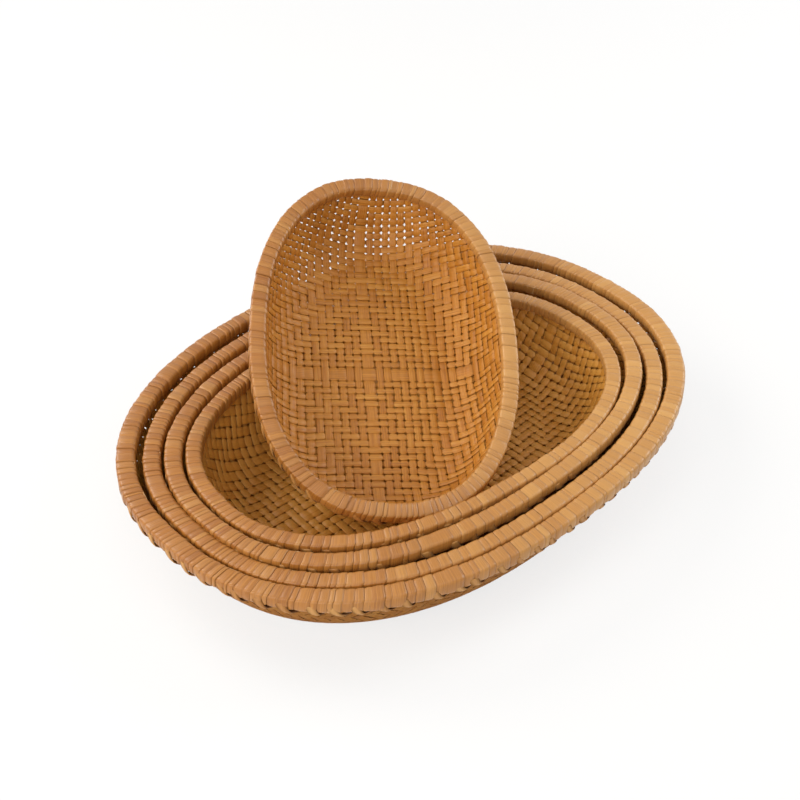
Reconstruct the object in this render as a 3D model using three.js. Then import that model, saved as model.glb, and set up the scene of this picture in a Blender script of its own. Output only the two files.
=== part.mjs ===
// Nesting set of five oval bamboo baskets. Four sit one inside another and the smallest leans in them.
// Millimetres, +Z up, +X along the largest basket. The origin is the middle of its flat underside.
import * as THREE from "three";

// Outer sizes of the largest basket over its rim. Depth runs from the middle of the rim to the underside.
const LENGTH = 400;
const WIDTH = 305;
const DEPTH = 49;
const RIM_WIDTH = 11.5;
const RIM_HEIGHT = 8.6;

// The sizes of each basket of the set as shares of the largest one's.
const SHARES = [
  { size: "largest", length: 1, width: 1, depth: 1, rimWidth: 1, rimHeight: 1 },
  { size: "large", length: 0.914, width: 0.8885, depth: 0.965, rimWidth: 0.92, rimHeight: 0.977 },
  { size: "medium", length: 0.8525, width: 0.7785, depth: 0.9735, rimWidth: 0.922, rimHeight: 0.95 },
  { size: "small", length: 0.7688, width: 0.6775, depth: 0.941, rimWidth: 0.844, rimHeight: 0.93 },
  { size: "smallest", length: 0.67, width: 0.5836, depth: 0.9225, rimWidth: 0.904, rimHeight: 0.965 },
];
const BASKETS = SHARES.map((share) => ({
  size: share.size,
  length: LENGTH * share.length,
  width: WIDTH * share.width,
  depth: DEPTH * share.depth,
  rimWidth: RIM_WIDTH * share.rimWidth,
  rimHeight: RIM_HEIGHT * share.rimHeight,
}));

// How each nested basket lies in the one round it: turned by hand, then pushed until the rims touch.
const NEST_TURNS = [-1.4, -1, -3.3];
const NEST_PUSH_HEADINGS = [-128, -133, -146];

// How the smallest basket leans: its long axis points this way and rises, with one side tipped up.
const LEAN_HEADING = 47.7;
const LEAN_RISE = 19.8;
const LEAN_SIDE_TIP = 9.3;
const LEAN_SIDE_SHIFT = 16.9;

// Woven wall of two crossing layers of split strip.
const WALL = 1.5;
const WALL_SLOPE = 66;
const FLOOR_RADIUS = 33;

// Plan shape: 2 would be a plain ellipse, more is squarer.
const OVAL_POWER = 2.33;

// Rim: two split hoops grip the woven edge and a flat strip binds them together.
const BINDING = 0.9;
const BINDING_CORNER = 1.6;
const NECK_BELOW_BINDING = 0.6;
const EDGE_BELOW_HOOP_TOP = 0.6;

// Free space left between pieces that touch in the real set.
const CLEARANCE = 0.3;

// Fineness of the surfaces.
const AROUND = 38;
const BEND_STEPS = 4;
const FLOOR_SAMPLES = 10;
const SEARCH_STEPS = 24;
const SECTOR = (2 * Math.PI) / AROUND;
const FACET_SAMPLES = 3;

const WEAVE_COLOUR = "#b5803f";
const BINDING_COLOUR = "#b98650";
const HOOP_COLOUR = "#c79c62";

const radians = THREE.MathUtils.degToRad;

// Sizes that follow from the driving ones.
function rimHalfLength(basket) {
  return (basket.length - basket.rimWidth) / 2;
}

function rimHalfWidth(basket) {
  return (basket.width - basket.rimWidth) / 2;
}

function hoopThickness(basket) {
  return (basket.rimWidth - WALL) / 2 - BINDING - 2 * CLEARANCE;
}

function hoopHeight(basket) {
  return basket.rimHeight - 2 * BINDING - 2 * CLEARANCE;
}

function neckDepth(basket) {
  return basket.rimHeight / 2 + NECK_BELOW_BINDING;
}

// Distance from the middle to the oval at an inset from the middle line of the rim, in one direction.
function ovalRadius(basket, inset, angle) {
  const along = Math.abs(Math.cos(angle) / (rimHalfLength(basket) - inset)) ** OVAL_POWER;
  const across = Math.abs(Math.sin(angle) / (rimHalfWidth(basket) - inset)) ** OVAL_POWER;
  return (along + across) ** (-1 / OVAL_POWER);
}

// One closed oval, inset from the middle line of the rim, as points counter-clockwise from +X.
function ovalRing(basket, inset) {
  return Array.from({ length: AROUND }, (_, step) => {
    const angle = step * SECTOR;
    const radius = ovalRadius(basket, inset, angle);
    return new THREE.Vector2(radius * Math.cos(angle), radius * Math.sin(angle));
  });
}

// The inset whose faceted oval passes through a point of the plan.
function insetAt(basket, x, y) {
  const angle = (Math.atan2(y, x) + 2 * Math.PI) % (2 * Math.PI);
  const start = Math.floor(angle / SECTOR) * SECTOR;
  const distance = Math.hypot(x, y);
  let outside = -basket.width;
  let inside = rimHalfWidth(basket);
  for (let step = 0; step < SEARCH_STEPS; step += 1) {
    const middle = (outside + inside) / 2;
    const first = ovalRadius(basket, middle, start);
    const second = ovalRadius(basket, middle, start + SECTOR);
    const span = first * Math.sin(angle - start) + second * Math.sin(start + SECTOR - angle);
    if (distance * span < first * second * Math.sin(SECTOR)) outside = middle;
    else inside = middle;
  }
  return (outside + inside) / 2;
}

// Middle of the woven wall from its cut edge down to the floor: inset, height over the rim, slope.
function wallPath(basket) {
  const slope = radians(WALL_SLOPE);
  const neck = neckDepth(basket);
  const bendDrop = FLOOR_RADIUS * (1 - Math.cos(slope));
  const slopeDrop = basket.depth - WALL / 2 - neck - bendDrop;
  const slopeInset = slopeDrop / Math.tan(slope);
  const path = [
    { inset: 0, height: hoopHeight(basket) / 2 - EDGE_BELOW_HOOP_TOP, slope: Math.PI / 2, widen: 1 },
    {
      inset: 0,
      height: -neck,
      slope: (Math.PI / 2 + slope) / 2,
      widen: 1 / Math.cos((Math.PI / 2 - slope) / 2),
    },
  ];
  for (let step = 0; step <= BEND_STEPS; step += 1) {
    const bend = slope * (1 - step / BEND_STEPS);
    path.push({
      inset: slopeInset + FLOOR_RADIUS * (Math.sin(slope) - Math.sin(bend)),
      height: -neck - slopeDrop - FLOOR_RADIUS * (Math.cos(bend) - Math.cos(slope)),
      slope: bend,
      widen: 1,
    });
  }
  return path;
}

// One face of the wall: side is +1 for the outer face and -1 for the inner face.
function wallFace(basket, side) {
  return wallPath(basket).map((point) => ({
    inset: point.inset - (side * point.widen * WALL * Math.sin(point.slope)) / 2,
    height: point.height - (side * point.widen * WALL * Math.cos(point.slope)) / 2,
  }));
}

// Joins rings of points into faces. The section runs counter-clockwise with the outside on the right.
function skinRings(basket, section, closed) {
  const positions = [];
  const faces = [];
  for (const { inset, height } of section)
    for (const point of ovalRing(basket, inset)) positions.push(point.x, point.y, height);
  const bands = closed ? section.length : section.length - 1;
  for (let band = 0; band < bands; band += 1) {
    const low = band * AROUND;
    const high = ((band + 1) % section.length) * AROUND;
    for (let step = 0; step < AROUND; step += 1) {
      const next = (step + 1) % AROUND;
      faces.push(low + step, low + next, high + next);
      faces.push(low + step, high + next, high + step);
    }
  }
  if (!closed) {
    const last = (section.length - 1) * AROUND;
    const underside = positions.length / 3;
    positions.push(0, 0, section[0].height, 0, 0, section[section.length - 1].height);
    for (let step = 0; step < AROUND; step += 1) {
      const next = (step + 1) % AROUND;
      faces.push(underside, next, step);
      faces.push(underside + 1, last + step, last + next);
    }
  }
  const geometry = new THREE.BufferGeometry();
  geometry.setAttribute("position", new THREE.Float32BufferAttribute(positions, 3));
  geometry.setIndex(faces);
  geometry.computeVertexNormals();
  return geometry;
}

// Woven body: flat floor, rounded turn, leaning wall and a straight neck that stands between the hoops.
function wovenBody(basket) {
  const section = [...wallFace(basket, 1).reverse(), ...wallFace(basket, -1)];
  return skinRings(basket, section, false);
}

// A hoop of split bamboo with a plain rectangular section, on the inner (+1) or outer (-1) side.
function hoop(basket, side) {
  const near = side * (WALL / 2 + CLEARANCE);
  const far = side * (WALL / 2 + CLEARANCE + hoopThickness(basket));
  const outer = Math.min(near, far);
  const inner = Math.max(near, far);
  const top = hoopHeight(basket) / 2;
  const section = [
    { inset: inner, height: -top },
    { inset: outer, height: -top },
    { inset: outer, height: top },
    { inset: inner, height: top },
  ];
  return skinRings(basket, section, true);
}

// Binding: the wrapped strip as one sleeve over both hoops, open below where the wall comes in.
function rimBinding(basket) {
  const side = basket.rimWidth / 2;
  const top = basket.rimHeight / 2;
  const innerSide = side - BINDING;
  const innerTop = top - BINDING;
  const mouth = WALL / 2 + CLEARANCE;
  const section = [
    { inset: -mouth, height: -top },
    { inset: -side + BINDING_CORNER, height: -top },
    { inset: -side, height: -top + BINDING_CORNER },
    { inset: -side, height: top - BINDING_CORNER },
    { inset: -side + BINDING_CORNER, height: top },
    { inset: side - BINDING_CORNER, height: top },
    { inset: side, height: top - BINDING_CORNER },
    { inset: side, height: -top + BINDING_CORNER },
    { inset: side - BINDING_CORNER, height: -top },
    { inset: mouth, height: -top },
    { inset: mouth, height: -innerTop },
    { inset: innerSide, height: -innerTop },
    { inset: innerSide, height: innerTop },
    { inset: -innerSide, height: innerTop },
    { inset: -innerSide, height: -innerTop },
    { inset: -mouth, height: -innerTop },
  ];
  return skinRings(basket, section, true);
}

function piece(name, geometry, colour, roughness) {
  const material = new THREE.MeshStandardMaterial({ color: colour, roughness, metalness: 0 });
  const mesh = new THREE.Mesh(geometry, material);
  mesh.name = name;
  return mesh;
}

// One basket about the middle of its rim.
function makeBasket(basket) {
  const group = new THREE.Group();
  group.add(
    piece(`${basket.size}_woven_body`, wovenBody(basket), WEAVE_COLOUR, 0.6),
    piece(`${basket.size}_inner_hoop`, hoop(basket, 1), HOOP_COLOUR, 0.55),
    piece(`${basket.size}_outer_hoop`, hoop(basket, -1), HOOP_COLOUR, 0.55),
    piece(`${basket.size}_rim_binding`, rimBinding(basket), BINDING_COLOUR, 0.5),
  );
  return group;
}

// The rim edge of a basket as laid in the plan.
function placedRing(basket, inset, turn, offset) {
  const centre = new THREE.Vector2();
  return ovalRing(basket, inset).map((point) => point.rotateAround(centre, turn).add(offset));
}

// How far a ring inside another can move along a direction before only the clearance is left.
function slideUntilTouch(outerRing, innerRing, direction) {
  let slide = Infinity;
  outerRing.forEach((start, index) => {
    const end = outerRing[(index + 1) % outerRing.length];
    const outward = end.clone().sub(start).normalize();
    outward.set(outward.y, -outward.x);
    const approach = outward.dot(direction);
    if (approach <= 0) return;
    for (const point of innerRing) {
      const distance = start.clone().sub(point).dot(outward);
      slide = Math.min(slide, (distance - CLEARANCE) / approach);
    }
  });
  return slide;
}

// Places of the four nested baskets: offset and turn in the plan, height of the middle of the rim.
function nestPlaces() {
  const places = [{ offset: new THREE.Vector2(), turn: 0, height: BASKETS[0].depth }];
  NEST_TURNS.forEach((turnStep, index) => {
    const round = places[index];
    const turn = round.turn + radians(turnStep);
    const heading = radians(NEST_PUSH_HEADINGS[index]);
    const direction = new THREE.Vector2(Math.cos(heading), Math.sin(heading));
    const outerRing = placedRing(BASKETS[index], BASKETS[index].rimWidth / 2, round.turn, round.offset);
    const basket = BASKETS[index + 1];
    const innerRing = placedRing(basket, -basket.rimWidth / 2, turn, round.offset);
    const slide = slideUntilTouch(outerRing, innerRing, direction);
    const offset = round.offset.clone().addScaledVector(direction, slide);
    const floorHeight = (index + 1) * (WALL + CLEARANCE);
    places.push({ offset, turn, height: floorHeight + basket.depth });
  });
  return places;
}

// Height of the inner face of a wall or floor at an inset, over the underside of its own floor.
function innerHeight(basket, inset) {
  const face = wallFace(basket, -1);
  const lower = face.findIndex((point) => point.inset >= inset);
  if (lower < 0) return WALL;
  const below = face[lower];
  const above = face[Math.max(lower - 1, 0)];
  const share = (inset - above.inset) / Math.max(below.inset - above.inset, CLEARANCE);
  return basket.depth + above.height + share * (below.height - above.height);
}

// Top of a rim at an inset, over its own middle.
function rimTop(basket, inset) {
  const flat = basket.rimWidth / 2 - BINDING_CORNER;
  return basket.rimHeight / 2 - Math.max(0, Math.abs(inset) - flat);
}

// Heights that the stack holds up at a point: the highest rim there, and the bowl of the innermost.
function supportAt(places, x, y) {
  const support = { rim: -Infinity, bowl: -Infinity };
  places.forEach((place, index) => {
    const basket = BASKETS[index];
    const point = new THREE.Vector2(x, y).sub(place.offset).rotateAround(new THREE.Vector2(), -place.turn);
    const inset = insetAt(basket, point.x, point.y);
    if (Math.abs(inset) <= basket.rimWidth / 2)
      support.rim = Math.max(support.rim, place.height + rimTop(basket, inset));
    else if (inset > 0 && index === places.length - 1)
      support.bowl = place.height - basket.depth + innerHeight(basket, inset);
  });
  return support;
}

// Points spread over the facets on the outside of a basket, which can touch what lies under it.
function undersidePoints(basket) {
  const face = wallFace(basket, 1);
  const rimEdge = { inset: -basket.rimWidth / 2, height: -basket.rimHeight / 2 + BINDING_CORNER };
  const rings = [rimEdge, ...face].map(({ inset, height }) =>
    ovalRing(basket, inset).map((point) => new THREE.Vector3(point.x, point.y, height)),
  );
  const floorEdge = rings[rings.length - 1];
  const floorCentre = new THREE.Vector3(0, 0, -basket.depth);
  for (let step = 1; step <= FLOOR_SAMPLES; step += 1)
    rings.push(floorEdge.map((point) => point.clone().lerp(floorCentre, step / FLOOR_SAMPLES)));
  const points = [];
  rings.slice(1).forEach((ring, index) => {
    ring.forEach((corner, step) => {
      const next = (step + 1) % AROUND;
      for (let across = 0; across < FACET_SAMPLES; across += 1)
        for (let along = 0; along < FACET_SAMPLES; along += 1) {
          const near = corner.clone().lerp(ring[next], along / FACET_SAMPLES);
          const far = rings[index][step].clone().lerp(rings[index][next], along / FACET_SAMPLES);
          points.push(near.lerp(far, across / FACET_SAMPLES));
        }
    });
  });
  return points;
}

// Where the leaning basket comes to rest: its bowl on the floor of the stack, its floor on a far rim.
function leanPlace(places) {
  const turn = new THREE.Euler(radians(LEAN_SIDE_TIP), -radians(LEAN_RISE), radians(LEAN_HEADING), "ZYX");
  const basket = BASKETS[BASKETS.length - 1];
  const points = undersidePoints(basket).map((point) => point.applyEuler(turn));
  const heading = radians(LEAN_HEADING);
  const placeAt = (slide) => {
    const x = slide * Math.cos(heading) - LEAN_SIDE_SHIFT * Math.sin(heading);
    const y = slide * Math.sin(heading) + LEAN_SIDE_SHIFT * Math.cos(heading);
    let onRim = -Infinity;
    let onBowl = -Infinity;
    for (const point of points) {
      const support = supportAt(places, point.x + x, point.y + y);
      onRim = Math.max(onRim, support.rim - point.z);
      onBowl = Math.max(onBowl, support.bowl - point.z);
    }
    return { x, y, onRim, onBowl };
  };
  let near = 0;
  let far = rimHalfWidth(basket);
  for (let step = 0; step < SEARCH_STEPS; step += 1) {
    const middle = (near + far) / 2;
    const { onRim, onBowl } = placeAt(middle);
    if (onRim < onBowl) near = middle;
    else far = middle;
  }
  const { x, y, onRim, onBowl } = placeAt((near + far) / 2);
  return { position: new THREE.Vector3(x, y, Math.max(onRim, onBowl) + CLEARANCE), turn };
}

const group = new THREE.Group();
const places = nestPlaces();
places.forEach((place, index) => {
  const nested = makeBasket(BASKETS[index]);
  nested.position.set(place.offset.x, place.offset.y, place.height);
  nested.rotation.z = place.turn;
  group.add(nested);
});
const lean = leanPlace(places);
const leaning = makeBasket(BASKETS[BASKETS.length - 1]);
leaning.position.copy(lean.position);
leaning.rotation.copy(lean.turn);
group.add(leaning);

export default group;
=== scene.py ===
"""Dresses a nesting set of five oval bamboo baskets and sets up the picture of it.

Each basket is a mat of split bamboo woven in mirrored twill, pressed into a shallow oval bowl, with a rim
of two hoops wrapped by one flat strip. Everything is in metres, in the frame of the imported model.
"""

import logging
import math
from dataclasses import dataclass, replace
from enum import Enum
from typing import Any, Mapping, Sequence

import bpy
import numpy as np
from bpy.types import Material, Mesh, Node, NodeSocket, NodeTree, Object, World
from mathutils import Matrix, Vector


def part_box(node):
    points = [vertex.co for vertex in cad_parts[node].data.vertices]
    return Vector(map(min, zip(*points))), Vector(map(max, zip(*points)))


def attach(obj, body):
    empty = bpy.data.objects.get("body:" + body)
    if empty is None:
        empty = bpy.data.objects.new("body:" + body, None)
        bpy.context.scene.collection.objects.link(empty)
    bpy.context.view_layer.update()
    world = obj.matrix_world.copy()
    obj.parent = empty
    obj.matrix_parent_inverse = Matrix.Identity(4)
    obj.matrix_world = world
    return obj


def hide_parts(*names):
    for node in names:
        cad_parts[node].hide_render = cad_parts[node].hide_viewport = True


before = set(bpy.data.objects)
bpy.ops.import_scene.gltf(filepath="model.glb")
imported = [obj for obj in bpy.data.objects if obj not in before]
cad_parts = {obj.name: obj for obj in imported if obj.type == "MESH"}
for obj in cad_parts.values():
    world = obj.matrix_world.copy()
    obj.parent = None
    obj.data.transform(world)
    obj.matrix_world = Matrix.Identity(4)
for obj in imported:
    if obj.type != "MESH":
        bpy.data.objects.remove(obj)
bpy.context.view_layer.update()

# The types that come most often.
Array = np.ndarray
Pair = tuple[float, float]

LOG = logging.getLogger("basket_set")
MM = 0.001
TURN = 2 * math.pi

# How far the solver of a strip's end may look along it, and how often it halves the span.
END_SEARCH = 320 * MM
END_HALVINGS = 40
# Cuts of a strip that lie closer together than this are one cut.
LEAST_STRETCH = 1e-5
# Least length that a direction is divided by.
LEAST_LENGTH = 1e-12
# Steps that slopes are measured over: a turn in the plan in radians, and a length on the mat.
ANGLE_STEP = 1e-4
MAT_STEP = 0.4 * MM
# Points of the middle line of a rim.
RIM_POINTS = 4001
# How far the grain moves on from one strip, turn or loop to the next, so that no two look alike.
STRIP_GRAIN_STEPS = (0.613, 0.137)
TURN_GRAIN_STEP = 0.317
LOOP_GRAIN_STEP = 7
# What is added to a basket's seed for the draws of its wrapped rim and of its loops.
WRAPPING_SEED_STEP = 50
LOOP_SEED_STEP = 70


class StripRun(Enum):
    """Which way a strip of the mat runs."""

    LONG = "long_strips"
    CROSS = "cross_strips"


class LightKind(Enum):
    """What a studio lamp is there for."""

    KEY = "key_softbox"
    SIDE = "side_softbox"
    FILL = "fill_softbox"
    TOP = "top_softbox"
    FAR = "far_softbox"


def linear_colour(hex_code: str) -> tuple[float, float, float, float]:
    """Turns an sRGB hex colour into the linear colour that a shader takes.

    Args:
        hex_code: Six hex digits with a leading hash.

    Returns:
        Linear red, green and blue, and an alpha of one.
    """
    channels = [int(hex_code[place : place + 2], 16) / 255 for place in (1, 3, 5)]
    red, green, blue = (c / 12.92 if c <= 0.04045 else ((c + 0.055) / 1.055) ** 2.4 for c in channels)
    return (red, green, blue, 1.0)


def fresh_tree(owner: Material | World) -> NodeTree:
    """Gives a material or a world an empty node tree.

    Args:
        owner: The material or world.

    Returns:
        Its node tree.
    """
    owner.use_nodes = True
    owner.node_tree.nodes.clear()
    return owner.node_tree


def add_node(tree: NodeTree, kind: str, inputs: Mapping[Any, Any] | None = None, **settings: Any) -> Node:
    """Adds one node with its settings, and sets or feeds its sockets.

    Args:
        tree: The node tree that gets the node.
        kind: The node's type name.
        inputs: Socket name or number, and its value, the output that feeds it, or a node whose first
            output in use feeds it.
        **settings: Attributes of the node itself.

    Returns:
        The new node.
    """
    node = tree.nodes.new(kind)
    for name, value in settings.items():
        setattr(node, name, value)
    for key, source in (inputs or {}).items():
        named = [socket for socket in node.inputs if socket.enabled and socket.name == key]
        target = named[0] if named else node.inputs[key]
        if isinstance(source, Node):
            source = next(socket for socket in source.outputs if socket.enabled)
        if isinstance(source, NodeSocket):
            tree.links.new(source, target)
        else:
            target.default_value = source
    return node


@dataclass
class Skin:
    """A closed surface of four-cornered faces with what its finish reads at each point.

    Args:
        points: Places of the points, in a grid or a row, with x, y and z in the last axis.
        faces: Point numbers, four to a row, turning left round the outward side.
        uv: Distances along and across the strip, which are spread over the grid where they are fewer.
        marks: Named numbers, which are spread in the same way.
        creases: Pairs of point numbers whose edge stays sharp.
    """

    points: Array
    faces: Array
    uv: Sequence[Array]
    marks: Mapping[str, Array]
    creases: Sequence = ()

    def __post_init__(self) -> None:
        """Lays the points out one to a row, and spreads over them what is fewer."""
        grid = self.points.shape[:-1]
        self.points = self.points.reshape(-1, 3)
        self.uv = [np.broadcast_to(part, grid).ravel() for part in self.uv]
        self.marks = {name: np.broadcast_to(mark, grid).ravel() for name, mark in self.marks.items()}
        self.creases = np.asarray(self.creases, dtype=int).reshape(-1, 2)

    def without_spare_points(self) -> "Skin":
        """Drops the points that no face uses.

        Returns:
            The same surface with its points numbered anew.
        """
        used, places = np.unique(self.faces, return_inverse=True)
        number = np.full(len(self.points), -1)
        number[used] = np.arange(len(used))
        creases = number[self.creases]
        uv = [part[used] for part in self.uv]
        marks = {name: mark[used] for name, mark in self.marks.items()}
        faces, kept = places.reshape(self.faces.shape), creases[(creases >= 0).all(axis=1)]
        return Skin(self.points[used], faces, uv, marks, kept)

    def make_object(self, name: str, material: Material) -> Object:
        """Turns the surface into an object that sits at the origin.

        Args:
            name: Name of the object and its mesh.
            material: The one material on it.

        Returns:
            The new object, linked to the scene.
        """
        mesh = bpy.data.meshes.new(name)
        mesh.from_pydata(self.points, [], self.faces, shade_flat=False)
        layer = mesh.uv_layers.new(name="strip")
        corners = np.stack(self.uv, axis=-1)[self.faces.ravel()]
        layer.uv.foreach_set("vector", corners.astype(np.float32).ravel())
        for mark, numbers in self.marks.items():
            attribute = mesh.attributes.new(mark, "FLOAT", "POINT")
            attribute.data.foreach_set("value", numbers.astype(np.float32))
        if len(self.creases):
            self.crease(mesh)
        mesh.materials.append(material)
        mesh.validate()
        made = bpy.data.objects.new(name, mesh)
        bpy.context.scene.collection.objects.link(made)
        return made

    def crease(self, mesh: Mesh) -> None:
        """Marks the listed edges of the finished mesh as sharp.

        Args:
            mesh: The mesh made from this surface.
        """
        ends = np.zeros(len(mesh.edges) * 2, dtype=np.int64)
        mesh.edges.foreach_get("vertices", ends)
        count = len(self.points)
        ends = np.sort(ends.reshape(-1, 2), axis=1)
        wanted = np.sort(self.creases, axis=1)
        sharp = np.isin(ends[:, 0] * count + ends[:, 1], wanted[:, 0] * count + wanted[:, 1])
        attribute = mesh.attributes.new("sharp_edge", "BOOLEAN", "EDGE")
        attribute.data.foreach_set("value", sharp)


@dataclass(frozen=True)
class StripFinish:
    """Any split bamboo strip: fibres along it, a tone of its own, and painted shade in the places that its
    marks name.

    The tone of a place is a weighted sum of the strip's own tone, of its fibres and of the long stains of the
    culm, read on three colours. Real fibres are about 0.3 mm wide. They are drawn twice as wide, so that
    they show. Each shade mark names a mark of the surface, the range that is read of it, and how much
    painted shade its end gets.
    """

    name: str
    light: str
    middle: str
    dark: str
    painted_shade: str
    roughness: float
    ior: float
    fibre_length: float
    fibre_share: float
    stops: tuple[float, float, float]
    bump: float
    shade_marks: tuple[tuple[str, float, float, float], ...] = ()
    pale: str | None = None
    stain_share: float = 0.0
    stain_width: float = 8 * MM
    stain_length: float = 45 * MM
    fibre_width: float = 0.6 * MM
    fibre_octaves: float = 3.0
    stain_octaves: float = 2.0
    noise_roughness: float = 0.55
    tone_share: float = 0.09
    bump_strength: float = 0.5
    shaded_roughness: float = 0.95
    shaded_from: float = 0.4

    def noise(self, tree: NodeTree, width: float, length: float, octaves: float) -> Node:
        """Adds a noise that is drawn out along the strip.

        Args:
            tree: The material's node tree.
            width: Width of one fibre or stain.
            length: How far it runs.
            octaves: How finely it is broken up.

        Returns:
            The noise node.
        """
        place = add_node(tree, "ShaderNodeUVMap", uv_map="strip")
        drawn = {"Vector": place, "Scale": (1 / length, 1 / width, 1)}
        spread = add_node(tree, "ShaderNodeMapping", drawn)
        looks = {"Vector": spread, "Scale": 1.0, "Detail": octaves, "Roughness": self.noise_roughness}
        return add_node(tree, "ShaderNodeTexNoise", looks, noise_dimensions="2D")

    def shade_share(self, tree: NodeTree) -> Node | NodeSocket:
        """Adds how much painted shade a place gets, from 0 to 1: its groove mark, or the most of its shade
        marks.

        Args:
            tree: The material's node tree.

        Returns:
            What gives it.
        """
        if not self.shade_marks:
            return add_node(tree, "ShaderNodeAttribute", attribute_name="groove").outputs["Fac"]
        shade_marks = {}
        for number, (mark, start, end, painted_shade) in enumerate(self.shade_marks):
            value = add_node(tree, "ShaderNodeAttribute", attribute_name=mark).outputs["Fac"]
            span = {"Value": value, "From Min": start, "From Max": end, "To Min": 0.0, "To Max": painted_shade}
            shade_marks[number] = add_node(tree, "ShaderNodeMapRange", span)
        return add_node(tree, "ShaderNodeMath", shade_marks, operation="MAXIMUM")

    def material(self) -> Material:
        """Builds the material. Painted shade darkens the shaded places, and the roughness rises there from
        that of the rubbed surface.

        Returns:
            The material.
        """
        made = bpy.data.materials.new(self.name)
        tree = fresh_tree(made)
        fibres = self.noise(tree, self.fibre_width, self.fibre_length, self.fibre_octaves)
        own = add_node(tree, "ShaderNodeAttribute", attribute_name="tone").outputs["Fac"]
        tone = add_node(tree, "ShaderNodeMath", {0: own, 1: self.tone_share}, operation="MULTIPLY")
        terms = {0: fibres, 1: self.fibre_share, 2: tone}
        tone = add_node(tree, "ShaderNodeMath", terms, operation="MULTIPLY_ADD")
        if self.stain_share:
            stains = self.noise(tree, self.stain_width, self.stain_length, self.stain_octaves)
            terms = {0: stains, 1: self.stain_share, 2: tone}
            tone = add_node(tree, "ShaderNodeMath", terms, operation="MULTIPLY_ADD")
        ramp = colour = add_node(tree, "ShaderNodeValToRGB", {"Fac": tone})
        stops = ramp.color_ramp.elements
        stops.new(self.stops[1])
        for number, code in enumerate((self.dark, self.middle, self.light)):
            stops[number].position = self.stops[number]
            stops[number].color = linear_colour(code)
        # Painted shade: the shade share mixes the colour towards the painted shade colour and raises the
        # roughness.
        shade_share = self.shade_share(tree)
        # The pale mark mixes in the pale colour: paler turns and loops, and on the rim painted sheen where it
        # faces the light.
        if self.pale:
            bleached = add_node(tree, "ShaderNodeAttribute", attribute_name="pale").outputs["Fac"]
            layers = {"Factor": bleached, "A": ramp, "B": linear_colour(self.pale)}
            colour = add_node(tree, "ShaderNodeMix", layers, data_type="RGBA")
        layers = {"Factor": shade_share, "A": colour, "B": linear_colour(self.painted_shade)}
        relief = {"Height": fibres, "Strength": self.bump_strength, "Distance": self.bump}
        dull = {"Value": shade_share, "From Min": 0.0, "From Max": self.shaded_from}
        dull |= {"To Min": self.roughness, "To Max": self.shaded_roughness}
        looks = {
            "Base Color": add_node(tree, "ShaderNodeMix", layers, data_type="RGBA"),
            "Normal": add_node(tree, "ShaderNodeBump", relief),
            "Roughness": add_node(tree, "ShaderNodeMapRange", dull),
            "IOR": self.ior,
        }
        surface = add_node(tree, "ShaderNodeBsdfPrincipled", looks)
        add_node(tree, "ShaderNodeOutputMaterial", {"Surface": surface})
        return made


@dataclass(frozen=True)
class WovenStripFinish(StripFinish):
    """Split bamboo strip, scraped and left unvarnished, as the mats are woven from.

    The inner bamboo is honey tan with a low satin sheen. Fine fibres run along each strip, strips from
    different culms differ a little in tone, and painted shade darkens what dips under its neighbour and the
    strip's eased edges.
    """

    roughness: float = 0.45
    ior: float = 1.42
    fibre_length: float = 30 * MM
    fibre_share: float = 0.52
    stops: tuple[float, float, float] = (0.18, 0.36, 0.52)
    bump: float = 0.2 * MM
    # Painted shade: up to 0.42 where the strip dips under its neighbour, and up to 0.36 at its eased edges.
    shade_marks: tuple[tuple[str, float, float, float], ...] = (
        ("level", 0.2, -1.0, 0.42),
        ("edge", 0.7, 1.0, 0.36),
    )
    stain_share: float = 0.12


@dataclass(frozen=True)
class BindingFinish(StripFinish):
    """Flat bamboo skin strip wrapped tight round the rim and rubbed smooth by hands.

    The skin side is a redder tan than the mat and has more sheen, with fine fibres that run round the rim.
    Turns differ a little in tone, and painted shade darkens the line between two turns where it gapes.
    """

    name: str = "bamboo_skin_binding_rubbed"
    light: str = "#bb7f38"
    middle: str = "#a46829"
    dark: str = "#844c1b"
    # Painted shade in the open seams between turns.
    painted_shade: str = "#43210a"
    roughness: float = 0.32
    ior: float = 1.43
    fibre_length: float = 22 * MM
    fibre_share: float = 0.45
    stops: tuple[float, float, float] = (0.1, 0.28, 0.46)
    bump: float = 0.3 * MM
    # Pale colour of the paler turns, and of the painted sheen on the side of the rim that faces the light.
    pale: str = "#d8a662"


@dataclass(frozen=True)
class HoopFinish:
    """Plain split bamboo hoop with its straight grain, pale where the knife split it."""

    name: str = "split_bamboo_hoop"
    light: str = "#d8b27c"
    dark: str = "#b98a52"
    roughness: float = 0.55
    ior: float = 1.5
    grain: float = 0.9 * MM
    grain_length: float = 1 / 12
    grain_octaves: float = 3.0

    def material(self) -> Material:
        """Builds the material.

        Returns:
            The material.
        """
        made = bpy.data.materials.new(self.name)
        tree = fresh_tree(made)
        place = add_node(tree, "ShaderNodeTexCoord").outputs["Object"]
        drawn = {"Vector": place, "Scale": (1 / self.grain_length, 1 / self.grain_length, 1 / self.grain)}
        layers = add_node(tree, "ShaderNodeMapping", drawn)
        drawn = {"Vector": layers, "Scale": 1.0, "Detail": self.grain_octaves}
        grain = add_node(tree, "ShaderNodeTexNoise", drawn)
        tones = {"Factor": grain, "A": linear_colour(self.dark), "B": linear_colour(self.light)}
        colour = add_node(tree, "ShaderNodeMix", tones, data_type="RGBA")
        looks = {"Base Color": colour, "Roughness": self.roughness, "IOR": self.ior}
        surface = add_node(tree, "ShaderNodeBsdfPrincipled", looks)
        add_node(tree, "ShaderNodeOutputMaterial", {"Surface": surface})
        return made


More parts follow.
